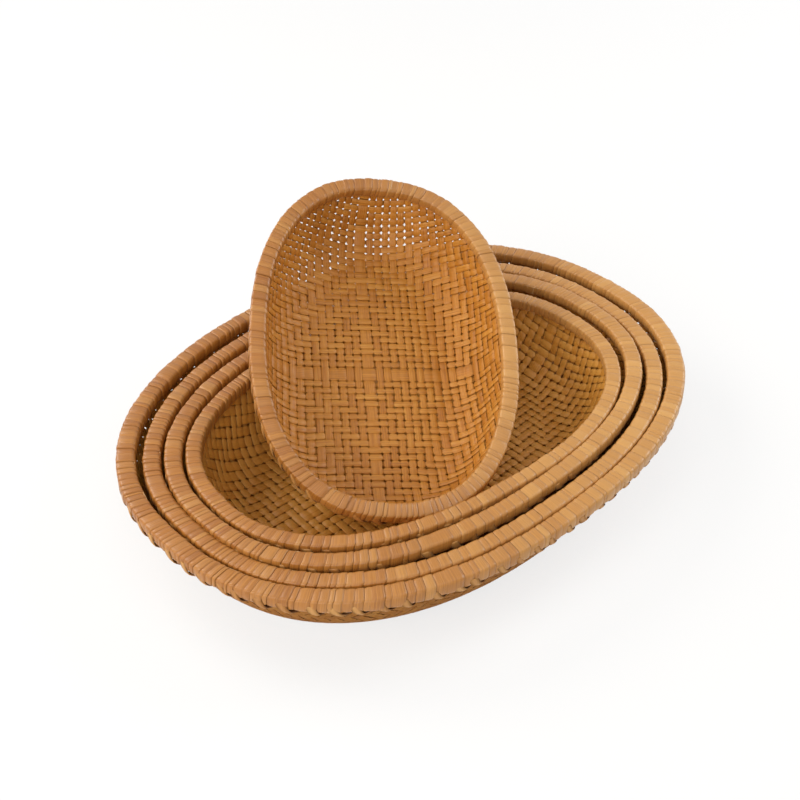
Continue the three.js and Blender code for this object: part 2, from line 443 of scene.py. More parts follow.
@dataclass(frozen=True)
class BowlShape:
    """The oval bowl that the mat of one basket is pressed into, about the middle of its rim.

    A plan line is the oval |x / a| ** power + |y / b| ** power = 1, where both half lengths are reduced by
    an inset. The wall is carried up from the floor: a round turn, a straight slope and a short neck.
    """

    length: float
    width: float
    depth: float
    rim_width: float
    rim_height: float
    wall: float = 1.5 * MM
    slope: float = math.radians(66)
    floor_radius: float = 33 * MM
    power: float = 2.33
    neck_below_binding: float = 0.6 * MM
    edge_below_rim_top: float = 1.8 * MM
    bend_points: int = 24

    def smaller(self, length: float, width: float, depth: float, rim: Pair) -> "BowlShape":
        """Gives a smaller bowl of the same make, by shares of this one's sizes."""
        rim_sizes = (self.rim_width * rim[0], self.rim_height * rim[1])
        return BowlShape(self.length * length, self.width * width, self.depth * depth, *rim_sizes)

    def oval_radius(self, inset: Array | float, angle: Array) -> Array:
        """Distance from the middle to the oval: (|cos / a| ** p + |sin / b| ** p) ** (-1 / p).

        Args:
            inset: How far inside the middle line of the rim the oval lies.
            angle: Direction in the plan.

        Returns:
            The distance in that direction.
        """
        half_length = (self.length - self.rim_width) / 2 - inset
        half_width = (self.width - self.rim_width) / 2 - inset
        along = np.abs(np.cos(angle) / half_length) ** self.power
        across = np.abs(np.sin(angle) / half_width) ** self.power
        return (along + across) ** (-1 / self.power)

    def rim_line(self) -> tuple[Array, Array]:
        """Follows the middle line of the rim in fine steps.

        Returns:
            Direction in the plan of each of its points, and the distance along the line.
        """
        angle = np.linspace(0, TURN, RIM_POINTS)
        radius = self.oval_radius(0.0, angle)
        line = np.stack([radius * np.cos(angle), radius * np.sin(angle)], axis=-1)
        steps = np.linalg.norm(np.diff(line, axis=0), axis=1)
        return angle, np.append(0.0, np.cumsum(steps))

    def beside_rim(self, angle: Array, outward: Array, upward: Array) -> Array:
        """Places points by their distance square out from the rim's middle line, and their height.

        Args:
            angle: Direction in the plan of the point of the middle line.
            outward: Distance square out from that line.
            upward: Height over the middle of the rim.

        Returns:
            Places, with x, y and z in the last axis.
        """
        radius = self.oval_radius(0.0, angle)
        before, after = self.oval_radius(0.0, angle - ANGLE_STEP), self.oval_radius(0.0, angle + ANGLE_STEP)
        change = (after - before) / (2 * ANGLE_STEP)
        cos, sin = np.cos(angle), np.sin(angle)
        forward = np.stack([change * cos - radius * sin, change * sin + radius * cos], axis=-1)
        forward /= np.linalg.norm(forward, axis=-1, keepdims=True)
        x = radius * cos + forward[..., 1] * outward
        y = radius * sin - forward[..., 0] * outward
        return np.stack([x, y, np.broadcast_to(upward, x.shape)], axis=-1)

    def wall_line(self) -> tuple[Array, Array, Array]:
        """Follows the middle of the wall upwards from the flat floor.

        On the turn, inset = slope inset + r (sin slope - sin t) and height = floor + r (1 - cos t), for the
        angle t from nothing to the slope. The slope and the neck are straight.

        Returns:
            Distance along the wall, inset and height at each of its points.
        """
        neck = self.rim_height / 2 + self.neck_below_binding
        floor = -self.depth + self.wall / 2
        turn_rise = self.floor_radius * (1 - math.cos(self.slope))
        slope_rise = -neck - floor - turn_rise
        slope_inset = slope_rise / math.tan(self.slope)
        bend = np.linspace(0, self.slope, self.bend_points)
        inset = slope_inset + self.floor_radius * (math.sin(self.slope) - np.sin(bend))
        height = floor + self.floor_radius * (1 - np.cos(bend))
        inset = np.append(inset, [0.0, 0.0])
        height = np.append(height, [-neck, self.rim_height / 2 - self.edge_below_rim_top])
        steps = np.hypot(np.diff(inset), np.diff(height))
        return np.append(0.0, np.cumsum(steps)), inset, height

    def beyond_floor(self, along: Array, across: Array) -> Array:
        """How far a point of the flat mat lies beyond the edge of the floor, less than 0 on the floor."""
        floor_edge = self.oval_radius(self.wall_line()[1][0], np.arctan2(across, along))
        return np.hypot(along, across) - floor_edge

    def past_edge(self, along: Array, across: Array) -> Array:
        """How far a point of the flat mat lies beyond the edge that the rim grips."""
        return self.beyond_floor(along, across) - self.wall_line()[0][-1]

    def wall_share(self, along: Array, across: Array) -> Array:
        """How far up the wall a point of the flat mat comes to lie, from 0 on the floor to 1 at the rim."""
        return np.clip(self.beyond_floor(along, across) / self.wall_line()[0][-1], 0, 1)

    def press(self, along: Array, across: Array) -> Array:
        """Carries points of the flat mat onto the bowl.

        A point keeps its direction from the middle. Within the floor it stays where it is, and past the
        floor's edge it goes up the wall by as much as it lies beyond that edge.

        Args:
            along: Places along the basket on the flat mat.
            across: Places across the basket on the flat mat.

        Returns:
            Places on the middle of the wall, with x, y and z in the last axis.
        """
        distance, inset, height = self.wall_line()
        angle = np.arctan2(across, along)
        climbed = np.clip(self.beyond_floor(along, across), 0, distance[-1])
        plan = self.oval_radius(np.interp(climbed, distance, inset), angle)
        plan = np.where(climbed > 0, plan, np.hypot(along, across))
        rise = np.interp(climbed, distance, height)
        return np.stack([plan * np.cos(angle), plan * np.sin(angle), rise], axis=-1)

    def press_normals(self, along: Array, across: Array) -> Array:
        """Finds the directions square out from the hollow side of the bowl.

        Each is the cross product of two small steps on the mat, along and across the basket.

        Args:
            along: Places along the basket on the flat mat.
            across: Places across the basket on the flat mat.

        Returns:
            Directions of length one.
        """
        east = self.press(along + MAT_STEP, across) - self.press(along - MAT_STEP, across)
        north = self.press(along, across + MAT_STEP) - self.press(along, across - MAT_STEP)
        normal = np.cross(east, north)
        return normal / np.maximum(np.linalg.norm(normal, axis=-1, keepdims=True), LEAST_LENGTH)


@dataclass(frozen=True)
class Mat:
    """The flat mat of one basket: two sets of split strips crossed in twill, two over and two under.

    The twill is mirrored about the middle strip of each set, which is wider than the rest. A long strip
    passes over a cross strip where the sum of their numbers from the middle leaves 1 or 2 when divided by 4.
    A strip lies by its lift above or below the middle of the wall, and by wall_lift more at the rim. Beside
    a crossing, of which least_rest stays flat, it dips and is pinched by its waist. It strays in waves whose
    lengths in millimetres are drawn from sway_waves.
    """

    long_pitch: float = 5.75 * MM
    cross_pitch: float = 5.4 * MM
    long_middle: float = 8.9 * MM
    cross_middle: float = 11.2 * MM
    turn: float = 0.0
    shift: Pair = (0.0, 0.0)
    bend: float = 0.0
    bend_reach: float = 40 * MM
    thickness: float = 0.44 * MM
    lift: float = 0.22 * MM
    reach: int = 44
    dip: float = 0.7 * MM
    least_rest: float = 0.4
    wall_lift: float = 0.2 * MM
    chamfer: float = 0.3 * MM
    waist: float = 0.95 * MM
    waist_draw: Pair = (0.45, 1.25)
    tight_gap: Pair = (0.12 * MM, 0.42 * MM)
    wide_gap: Pair = (0.7 * MM, 1.1 * MM)
    long_wide_share: float = 0.25
    cross_wide_share: float = 0.35
    sway: float = 0.12 * MM
    sway_waves: Pair = (45, 110)
    unevenness: float = 0.05 * MM
    loose_spot: Pair = (0.0, 0.0)
    loose_reach: float = 60 * MM
    looseness: float = 0.0
    tones: Pair = (0.0, 1.0)

    def middles(self, run: StripRun) -> tuple[Array, Array]:
        """Places and half widths of the strips of one set, from their numbers.

        Args:
            run: The set.

        Returns:
            Where the middle of each strip lies and half its share of the mat.
        """
        pitch, wide = {
            StripRun.LONG: (self.long_pitch, self.long_middle),
            StripRun.CROSS: (self.cross_pitch, self.cross_middle),
        }[run]
        number = np.arange(-self.reach, self.reach + 1)
        place = np.sign(number) * (wide / 2 + (np.abs(number) - 0.5) * pitch)
        return place, np.where(number == 0, wide, pitch) / 2

    def over(self, run: StripRun) -> Array:
        """Tells which strips of a set lie on top at which crossings.

        Args:
            run: The set.

        Returns:
            1 where the strip of the row lies on top of the strip of the column, and -1 elsewhere.
        """
        number = np.abs(np.arange(-self.reach, self.reach + 1))
        left = (number[:, None] + number[None, :]) % 4
        long_on_top = np.where((left == 1) | (left == 2), 1.0, -1.0)
        return long_on_top if run is StripRun.LONG else -long_on_top

    def gaps(self, run: StripRun, rng: np.random.Generator) -> Array:
        """Draws the gap before each strip of a set and after its last: some are tight and some wide.

        Args:
            run: The set. The cross strips were beaten up less tightly than the long ones.
            rng: Source of the draws.

        Returns:
            The gaps, one more than there are strips.
        """
        count = 2 * self.reach + 2
        share = self.long_wide_share if run is StripRun.LONG else self.cross_wide_share
        tight = rng.uniform(*self.tight_gap, count)
        wide = rng.uniform(*self.wide_gap, count)
        return np.where(rng.random(count) < share, wide, tight)

    def slack(self, along: Array, across: Array) -> Array:
        """How much narrower the strips are near the loose spot, fading as exp(-(d / reach) ** 2)."""
        away = np.hypot(along - self.loose_spot[0], across - self.loose_spot[1])
        return self.looseness * np.exp(-((away / self.loose_reach) ** 2))

    def turned(self, along: Array, across: Array) -> tuple[Array, Array]:
        """Lays the mat in the basket: bent in the middle, a little turned and off centre, as it was pressed.

        Past the bend's reach r the strips run at its angle, as y grows by bend * (sqrt(x ** 2 + r ** 2) - r).

        Args:
            along: Places along the mat.
            across: Places across the mat.

        Returns:
            Places along and across the basket.
        """
        cos, sin = math.cos(self.turn), math.sin(self.turn)
        away = np.hypot(along, self.bend_reach)
        bent_along = along - self.bend * across * along / away
        bent_across = across + self.bend * (away - self.bend_reach)
        turned_along = bent_along * cos - bent_across * sin + self.shift[0]
        return turned_along, bent_along * sin + bent_across * cos + self.shift[1]


@dataclass(frozen=True)
class Weaving:
    """Makes the strips of one set of a mat as solid ribbons pressed into the bowl.

    A cut across a ribbon has six points: a flat underside and a top with eased edges. The fields that start
    with cut give the height of each in half thicknesses, and how much of an edge it is.
    """

    shape: BowlShape
    mat: Mat
    seed: int
    cut_rise: tuple[float, ...] = (-1, -1, 0.2, 1, 1, 0.2)
    cut_edge: tuple[float, ...] = (0.2, 0.2, 1.0, 0.0, 0.0, 1.0)

    def flat(self, run: StripRun, travel: Array, beside: Array) -> tuple[Array, Array]:
        """Finds where in the basket points along a strip, and to the left of the mat's middle, lie flat."""
        on_mat = (travel, beside) if run is StripRun.LONG else (-beside, travel)
        return self.mat.turned(*on_mat)

    def ends(self, run: StripRun, beside: Array, way: float) -> Array:
        """Finds where each strip meets the edge of the bowl, by halving the span.

        Args:
            run: The set.
            beside: Where each strip lies.
            way: 1 for its far end and -1 for its near end.

        Returns:
            Distance along each strip to that end.
        """
        inside = np.zeros_like(beside)
        outside = np.full_like(beside, END_SEARCH)
        for _ in range(END_HALVINGS):
            middle = (inside + outside) / 2
            beyond = self.shape.past_edge(*self.flat(run, way * middle, beside)) > 0
            outside = np.where(beyond, middle, outside)
            inside = np.where(beyond, inside, middle)
        return way * inside

    def ribbons(self, run: StripRun) -> Skin:
        """Works out all strips of one set.

        Along each strip there are three cuts to each crossing, one before it and two on it, so it lies flat
        over or under its neighbour and dips between them. It is pinched there, which opens the corners.

        Args:
            run: The set.

        Returns:
            The closed ribbons as one surface.
        """
        mat = self.mat
        rng = np.random.default_rng(self.seed)
        places, halves = mat.middles(run)
        if run is StripRun.CROSS:
            places = -places
        held = self.shape.past_edge(*self.flat(run, np.zeros_like(places), places)) < 0
        places, halves, over = places[held], halves[held], mat.over(run)[held]
        count = len(places)

        crossings, crossing_halves = mat.middles(StripRun.CROSS if run is StripRun.LONG else StripRun.LONG)
        rest = np.maximum(crossing_halves - mat.dip, crossing_halves * mat.least_rest)
        cuts = np.stack([crossings - crossing_halves, crossings - rest, crossings + rest], axis=-1).ravel()
        former = np.concatenate([over[:, :1], over[:, :-1]], axis=1)
        level = np.stack([(former + over) / 2, over, over], axis=-1).reshape(count, -1)
        dips = np.tile([1.0, 0.0, 0.0], len(crossings))
        far = self.ends(run, places, 1.0)[:, None]
        near = self.ends(run, places, -1.0)[:, None]
        travel = np.clip(cuts[None, :], near, far)

        gaps = mat.gaps(run, rng)
        before, after = gaps[:-1][held], gaps[1:][held]
        slack = mat.slack(*self.flat(run, travel, places[:, None])) / 2
        waist = mat.waist * rng.uniform(*mat.waist_draw, (count, 1))
        taken = slack + dips * (waist + slack)
        tone = rng.uniform(*mat.tones, (count, 1, 1))
        wave = rng.uniform(*mat.sway_waves, (count, 1)) * MM
        phase = rng.uniform(0, TURN, (count, 1))
        sway = mat.sway * np.sin(travel / wave * TURN + phase)
        unevenness = rng.normal(0, mat.unevenness, travel.shape)
        left = halves[:, None] - after[:, None] / 2 - taken + unevenness
        right = halves[:, None] - before[:, None] / 2 - taken - unevenness

        eased_left, eased_right = left - mat.chamfer, -right + mat.chamfer
        beside = np.stack([-right, left, left, eased_left, eased_right, -right], axis=-1)
        rise = np.array(self.cut_rise) * (mat.thickness / 2)
        flat_beside = places[:, None, None] + sway[:, :, None] + beside
        flat_travel = np.broadcast_to(travel[:, :, None], flat_beside.shape)
        along, across = self.flat(run, flat_travel, flat_beside)
        lift = mat.lift + mat.wall_lift * self.shape.wall_share(along, across)
        lifted = (level[:, :, None] * lift + rise)[..., None]
        points = self.shape.press(along, across) + lifted * self.shape.press_normals(along, across)

        faces, creases = self.ribbon_faces(np.diff(travel, axis=1) > LEAST_STRETCH)
        spread = np.arange(count)[:, None, None]
        uv = (flat_travel + spread * STRIP_GRAIN_STEPS[0], beside + spread * STRIP_GRAIN_STEPS[1])
        marks = {"tone": tone, "level": level[:, :, None], "edge": np.array(self.cut_edge)}
        return Skin(points, faces, uv, marks, creases).without_spare_points()

    def ribbon_faces(self, stretch: Array) -> tuple[Array, Array]:
        """Joins the cuts of each strip by faces and closes its two ends.

        Args:
            stretch: Whether each strip has a stretch between a cut and the next.

        Returns:
            The faces, and the pairs of points whose edge stays sharp: those of the flat underside.
        """
        count, spans = stretch.shape
        cut_size = len(self.cut_rise)
        numbers = np.arange(count * (spans + 1) * cut_size).reshape(count, spans + 1, cut_size)
        here, there = numbers[:, :-1], numbers[:, 1:]
        corners = [here, np.roll(here, -1, axis=2), np.roll(there, -1, axis=2), there]
        sides = np.stack(corners, axis=-1)[stretch].reshape(-1, 4)
        first = numbers[np.arange(count), np.argmax(stretch, axis=1)]
        last = numbers[np.arange(count), spans - np.argmax(stretch[:, ::-1], axis=1)]
        caps = [first[:, [5, 2, 1, 0]], first[:, [5, 4, 3, 2]], last[:, [0, 1, 2, 5]], last[:, [2, 3, 4, 5]]]
        creases = np.stack([here[..., :2], there[..., :2]], axis=-1)[stretch].reshape(-1, 2)
        return np.concatenate([sides, *caps]), creases


@dataclass(frozen=True)
class Wrapping:
    """The flat strip wound round both hoops of a rim, as one endless helical band.

    Each turn is cut across at turn_cuts, shares of its width, which lie in its seam by seam_cuts. At the
    shares rope_at and splice_at of the way round, turns bulge like rope and a new strip starts. Open_seams
    and pale_spread are beta distributions.
    """

    shape: BowlShape
    seed: int
    turn_width: float = 5.3 * MM
    uneven_turns: float = 0.32
    crowded_ends: float = 0.35
    outer_power: float = 5.5
    inner_power: float = 4.0
    around: int = 24
    turn_cuts: tuple[float, ...] = (0.0, 0.045, 0.22, 0.5, 0.78, 0.96)
    seam_cuts: tuple[float, ...] = (1.0, 0.1, 0.0, 0.0, 0.0, 0.1)
    groove: float = 0.44 * MM
    open_seams: Pair = (0.9, 1.6)
    crown: float = 0.3 * MM
    lap: float = 0.2 * MM
    rope_at: float | None = None
    rope_span: float = 0.035
    rope_crown: float = 0.45 * MM
    rope_narrowing: float = 0.35
    splice_at: float | None = None
    splice_step: float = 0.8 * MM
    turn_play: float = 0.22 * MM
    waver: float = 0.2 * MM
    most_waver: float = 0.28 * MM
    waver_sideways: float = 0.7
    waves: tuple[int, int] = (3, 14)
    pale_turns: float = 0.3
    pale_spread: Pair = (0.6, 2.2)
    # Painted sheen: how much paler the rim is painted on the side that faces the light, and that side's
    # direction in the plan.
    painted_sheen: float = 0.5
    sheen_side: float = 0.0

    def rope(self, share: Array) -> Array:
        """How much the turns bulge like rope on the way round: exp(-((share - at) / span) ** 2)."""
        if self.rope_at is None:
            return np.zeros_like(share)
        return np.exp(-(((share - self.rope_at) / self.rope_span) ** 2))

    def section(self, part: Array) -> tuple[Array, Array, Array]:
        """Follows the section, which is the squared oval |x / w| ** p + |z / h| ** p = 1, from its foot.

        Args:
            part: Shares of the way round the section.

        Returns:
            Places sideways and upwards, and the directions out of the section.
        """
        angle = -TURN / 4 + part * TURN
        cos, sin = np.cos(angle), np.sin(angle)
        power = np.where(cos > 0, 2 / self.outer_power, 2 / self.inner_power)
        width, height = self.shape.rim_width, self.shape.rim_height
        section_x = np.sign(cos) * np.abs(cos) ** power * width / 2
        section_z = np.sign(sin) * np.abs(sin) ** power * height / 2
        out = np.stack([section_x / width, section_z / height], axis=-1)
        return section_x, section_z, out / np.linalg.norm(out, axis=-1, keepdims=True)

    def wavering(self, rng: np.random.Generator, share: Array) -> Array:
        """Draws how the rim strays from its line: a sum of sine waves, eased off by a hyperbolic tangent.

        Args:
            rng: Source of the draws.
            share: Shares of the way round the rim.

        Returns:
            How far it strays sideways and upwards, in the first axis.
        """
        waves = np.arange(self.waves[0], self.waves[1] + 1)
        push = (rng.normal(0, 1, (2, len(waves))) / np.sqrt(waves))[:, :, None, None]
        shift = rng.uniform(0, TURN, (2, len(waves)))[:, :, None, None]
        run = waves[None, :, None, None] * share[None, None] * TURN
        waver = self.waver * (push * np.sin(run + shift)).sum(axis=1)
        return self.most_waver * np.tanh(waver / self.most_waver)

    def band_faces(self, rows: int) -> Array:
        """Joins each row to the next, and its last point to the first point of the row one turn later.

        Args:
            rows: Number of rows.

        Returns:
            The faces.
        """
        row = np.arange(rows)[:, None]
        column = np.arange(self.around)[None, :]
        wraps = (column + 1) // self.around * len(self.turn_cuts)
        here = row * self.around + column
        beside = ((row + wraps) % rows) * self.around + (column + 1) % self.around
        next_here = ((row + 1) % rows) * self.around + column
        next_beside = ((row + 1 + wraps) % rows) * self.around + (column + 1) % self.around
        return np.stack([here, next_here, next_beside, beside], axis=-1).reshape(-1, 4)

    def skin(self) -> Skin:
        """Works out the band.

        Row m of the surface starts at a distance along the rim and moves on by one turn's width while it
        goes once round the section, so its last point is the first point of the row one turn later.

        Returns:
            The closed band.
        """
        rng = np.random.default_rng(self.seed)
        angles, distances = self.shape.rim_line()
        length = distances[-1]
        turns = int(round(length / self.turn_width))
        cuts = np.array(self.turn_cuts)
        share = np.arange(turns) / turns
        rope = self.rope(share)
        widths = np.exp(rng.normal(0, self.uneven_turns, turns)) * (1 - self.rope_narrowing * rope)
        widths *= 1 - self.crowded_ends * np.cos(TURN * share) ** 4
        widths *= turns / widths.sum()
        starts = np.append(0.0, np.cumsum(widths)[:-1])
        row_at = (starts[:, None] + widths[:, None] * cuts[None, :]).ravel() * length / turns
        stand = np.minimum(np.abs(rng.normal(0, self.turn_play, turns)), 2 * self.turn_play)
        open_seam = rng.beta(*self.open_seams, turns)
        if self.splice_at is not None:
            splice = int(np.searchsorted(starts, self.splice_at * turns))
            stand[splice] += self.splice_step
            open_seam[splice] = 1.0
        seam = open_seam[:, None] * np.array(self.seam_cuts)[None, :]
        crown = (self.crown + self.rope_crown * rope)[:, None] * np.sin(np.pi * cuts)
        height = stand[:, None] + crown + self.lap * (cuts - 0.5)
        row_height = (height - self.groove * seam).ravel()
        row_tone = np.repeat(rng.uniform(0, 1, turns), len(cuts))
        turn_pale = self.pale_turns * rng.beta(*self.pale_spread, turns)
        # Painted sheen: besides the paler turns drawn at random, the turns on the side that faces the light
        # are painted paler.
        facing = np.cos(np.interp(starts / turns * length, distances, angles) - self.sheen_side)
        row_pale_and_sheen = np.repeat(turn_pale + self.painted_sheen * (0.5 + 0.5 * facing) ** 2, len(cuts))

        part = np.arange(self.around) / self.around
        section_x, section_z, out = self.section(part)
        along = (row_at[:, None] + part[None, :] * length / turns) % length
        waver = self.wavering(rng, along / length)
        lateral = section_x + out[:, 0] * row_height[:, None] + waver[0] * self.waver_sideways
        upward = section_z + out[:, 1] * row_height[:, None] + waver[1]
        points = self.shape.beside_rim(np.interp(along, distances, angles), lateral, upward)

        turn = np.arange(len(row_at))[:, None] // len(cuts)
        girth = 2 * (self.shape.rim_width + self.shape.rim_height)
        uv = (part * girth + turn * TURN_GRAIN_STEP, row_at[:, None])
        # The groove mark carries the painted shade of the open seams.
        marks = {"tone": row_tone[:, None], "groove": seam.reshape(-1, 1), "pale": row_pale_and_sheen[:, None]}
        return Skin(points, self.band_faces(len(row_at)), uv, marks)


@dataclass(frozen=True)
class EdgeLoops:
    """Rounded loops of the binding strip under the outer edge, where it is tucked in through the mat.

    They hang by the drop on the loose side, where the strip was pulled less tight, and by the share
    tight_hang of it on the side opposite.
    """

    shape: BowlShape
    seed: int
    spacing: float = 13.5 * MM
    jitter: float = 0.2
    width: float = 6.4 * MM
    sizes: Pair = (0.75, 1.1)
    narrowing: float = 0.7
    thickness: float = 0.45 * MM
    round_front: float = 0.6
    bulge: float = 0.45 * MM
    drop: float = 2.5 * MM
    slant: float = 13.0 * MM
    slants: Pair = (0.7, 1.2)
    loose_side: float = math.pi
    loose_fade: float = 1.5
    tight_hang: float = 0.1
    tight_rise: float = 0.45
    edge_hang: float = 0.55
    slant_curve: float = 1.6
    hangs: Pair = (0.8, 1.15)
    cut_across: tuple[float, ...] = (-1, 1, 1, 0.7, 0.25, -0.25, -0.7, -1)
    cut_rise: tuple[float, ...] = (-0.5, -0.5, 0.0, 0.1, 0.2, 0.2, 0.1, 0.0)
    # Shares of painted shade at the loop's side edges and at its tucked end under the rim.
    side_shade: float = 0.75
    end_shade: float = 0.35
    tones: Pair = (0.4, 1.0)
    pales: Pair = (0.15, 0.6)

    def path(self) -> Array:
        """Points of a loop in the section of the rim: outwards from its side, and up from its underside.

        The strip leaves the side of the rim, bulges, and turns in below, where it hangs by the drop.

        Returns:
            The points, one row each.
        """
        # Shares of the bulge and millimetres up, and then millimetres inwards and shares of the drop.
        bulge, drop = self.bulge, self.drop
        beside = [(0.1, 5.2), (0.5, 4.0), (0.85, 2.4), (1.0, 0.7)]
        below = [(-0.05, 0.7), (-0.95, 0.93), (-1.9, 1.0), (-2.9, 0.9), (-3.8, 0.65), (-4.4, 0.4)]
        return np.array(
            [(bulge * out, up * MM) for out, up in beside]
            + [(bulge * 0.75, -drop * 0.32)]
            + [(out * MM, -drop * down) for out, down in below]
        )

    def skin(self) -> Skin:
        """Works out all loops of one rim.

        A cut across a loop has eight points: a flat back and a front that rises to its middle as 1 - u ** 2,
        for u from -1 at one edge to 1 at the other. What lies below the rim hangs in the same curve, so the
        lower edge of each loop is round. The loop narrows as 1 - n t ** 3 towards its tucked end.

        Returns:
            The closed loops as one surface.
        """
        rng = np.random.default_rng(self.seed)
        angles, distances = self.shape.rim_line()
        length = distances[-1]
        count = int(round(length / self.spacing))
        place = (np.arange(count) + rng.uniform(-self.jitter, self.jitter, count)) * length / count
        each = (count, 1, 1)
        size = rng.uniform(*self.sizes, each)
        loose = (0.5 + 0.5 * np.cos(np.interp(place, distances, angles) - self.loose_side)) ** self.loose_fade
        loose = self.tight_hang + (1 - self.tight_hang) * loose
        hang = loose.reshape(each) * rng.uniform(*self.hangs, each)
        path = self.path()
        run = np.gradient(path, axis=0)
        run /= np.linalg.norm(run, axis=1, keepdims=True)
        out = np.stack([-run[:, 1], run[:, 0]], axis=-1)[None, :, None, :]
        part = np.linspace(0, 1, len(path))
        half = (self.width / 2 * (1 - self.narrowing * part**3))[None, :, None]
        across = np.array(self.cut_across)
        curve = 1 - across**2
        rise = self.thickness * (np.array(self.cut_rise) + self.round_front * curve)
        rise = rise * (self.tight_rise + (1 - self.tight_rise) * hang)
        slant = (self.slant * part**self.slant_curve)[None, :, None] * rng.uniform(*self.slants, each)
        along = place.reshape(each) + half * across * size + slant
        below = np.minimum(path[:, 1], 0.0)[None, :, None] * hang
        below = below * (self.edge_hang + (1 - self.edge_hang) * curve)
        above = np.maximum(path[:, 1], 0.0)[None, :, None]
        lateral = path[None, :, 0, None]
        lateral = np.where(lateral > 0, lateral * hang, lateral) + out[..., 0] * rise
        lateral = np.broadcast_to(self.shape.rim_width / 2 + lateral, along.shape)
        upward = -self.shape.rim_height / 2 + above + below + out[..., 1] * rise
        points = self.shape.beside_rim(np.interp(along % length, distances, angles), lateral, upward)

        numbers = np.arange(along.size).reshape(along.shape)
        here, there = numbers[:, :-1], numbers[:, 1:]
        sides = np.stack([here, there, np.roll(there, -1, axis=2), np.roll(here, -1, axis=2)], axis=-1)
        ends = np.array([[0, 1, 2, 7], [2, 3, 6, 7], [3, 4, 5, 6]])
        caps = np.concatenate([numbers[:, 0][:, ends], numbers[:, -1][:, ends[:, ::-1]]])
        faces = np.concatenate([sides.reshape(-1, 4), caps.reshape(-1, 4)])
        travelled = np.append(0.0, np.cumsum(np.linalg.norm(np.diff(path, axis=0), axis=1)))
        uv = (travelled[None, :, None] + place.reshape(each) * LOOP_GRAIN_STEP, along)
        # Painted shade: darker towards the loop's side edges and towards its tucked end under the rim.
        painted_shade = self.side_shade * (1 - curve) + self.end_shade * part[:, None] ** 2
        tone, pale = rng.uniform(*self.tones, each), rng.uniform(*self.pales, each)
        marks = {"tone": tone, "groove": np.clip(painted_shade, 0, 1)[None], "pale": pale}
        return Skin(points, faces, uv, marks)


@dataclass(frozen=True)
class Basket:
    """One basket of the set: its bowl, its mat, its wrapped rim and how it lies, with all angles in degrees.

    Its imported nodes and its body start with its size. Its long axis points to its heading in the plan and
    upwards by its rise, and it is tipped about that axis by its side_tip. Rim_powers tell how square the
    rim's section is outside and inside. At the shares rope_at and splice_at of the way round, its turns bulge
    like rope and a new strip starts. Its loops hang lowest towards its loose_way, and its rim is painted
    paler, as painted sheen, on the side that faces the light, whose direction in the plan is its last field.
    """

    size: str
    shape: BowlShape
    mat: Mat
    heading: float = 0.0
    rise: float = 0.0
    side_tip: float = 0.0
    seed: int = 1
    rim_powers: Pair = (5.5, 4.0)
    rope_at: float | None = None
    splice_at: float | None = None
    loose_way: float = -180.0
    sheen_way: float = -45.0

    def body(self) -> str:
        """Name of the body that everything on this basket rides on."""
        return f"{self.size}_basket"

    def pose(self) -> Matrix:
        """Works out where the basket lies: its turns, then the middle of its packed rim.

        Returns:
            The matrix from the basket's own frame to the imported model's.
        """
        low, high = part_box(f"{self.size}_rim_binding")
        heading = Matrix.Rotation(math.radians(self.heading), 4, "Z")
        rise = Matrix.Rotation(-math.radians(self.rise), 4, "Y")
        tip = Matrix.Rotation(math.radians(self.side_tip), 4, "X")
        return Matrix.Translation((low + high) / 2) @ (heading @ rise @ tip)

    def settle(self, skin: Skin) -> Skin:
        """Moves a surface from the basket's own frame to where the basket lies."""
        pose = np.array(self.pose())
        return replace(skin, points=skin.points @ pose[:3, :3].T + pose[:3, 3])

    def rim_skins(self) -> Mapping[str, Skin]:
        """Works out the strip wound round the rim and its loops.

        Returns:
            Both surfaces, by the names of their pieces.
        """
        outer, inner = self.rim_powers
        wound = Wrapping(
            self.shape,
            self.seed + WRAPPING_SEED_STEP,
            outer_power=outer,
            inner_power=inner,
            rope_at=self.rope_at,
            splice_at=self.splice_at,
            sheen_side=math.radians(self.sheen_way - self.heading),
        )
        loose_side = math.radians(self.loose_way - self.heading)
        loops = EdgeLoops(self.shape, self.seed + LOOP_SEED_STEP, loose_side=loose_side)
        return {"wrapped_rim": wound.skin(), "edge_loops": loops.skin()}

    def build(self, finishes: Mapping[str, Material]) -> list[Object]:
        """Makes the basket's pieces and ties them to its body.

        Args:
            finishes: Materials by the part they are for.

        Returns:
            The new pieces.
        """
        pieces = []
        weaving = Weaving(self.shape, self.mat, self.seed)
        for run in StripRun:
            skin = self.settle(weaving.ribbons(run))
            piece = skin.make_object(f"{self.size}_{run.value}", finishes[run.value])
            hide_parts(f"{self.size}_woven_body")
            pieces.append(piece)
        for name, skin in self.rim_skins().items():
            piece = self.settle(skin).make_object(f"{self.size}_{name}", finishes["rim"])
            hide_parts(f"{self.size}_rim_binding")
            pieces.append(piece)
        for piece in pieces:
            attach(piece, self.body())
        for hoop in ("inner_hoop", "outer_hoop"):
            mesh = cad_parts[f"{self.size}_{hoop}"].data
            mesh.materials.clear()
            mesh.materials.append(finishes["hoop"])
        return pieces


@dataclass(frozen=True)
class Lamp:
    """One softbox. It stands off the set by shares to the camera's right, towards the camera and upwards."""

    kind: LightKind
    towards: tuple[float, float, float]
    size: float
    power: float
    colour: str = "#ffffff"
    distance: float = 1.5

    def build(self, aim: Vector, axes: Sequence[Vector]) -> None:
        """Adds the lamp.

        Args:
            aim: The point that it faces.
            axes: Directions to the right, towards the camera on the level, and up.
        """
        light = bpy.data.lights.new(self.kind.value, "AREA")
        light.shape = "DISK"
        light.size = self.size
        light.energy = self.power
        light.color = linear_colour(self.colour)[:3]
        made = bpy.data.objects.new(self.kind.value, light)
        right, front, above = (axis * share for axis, share in zip(axes, self.towards))
        direction = (right + front + above).normalized()
        made.location = aim + direction * self.distance
        made.rotation_euler = direction.to_track_quat("Z", "Y").to_euler()
        bpy.context.scene.collection.objects.link(made)


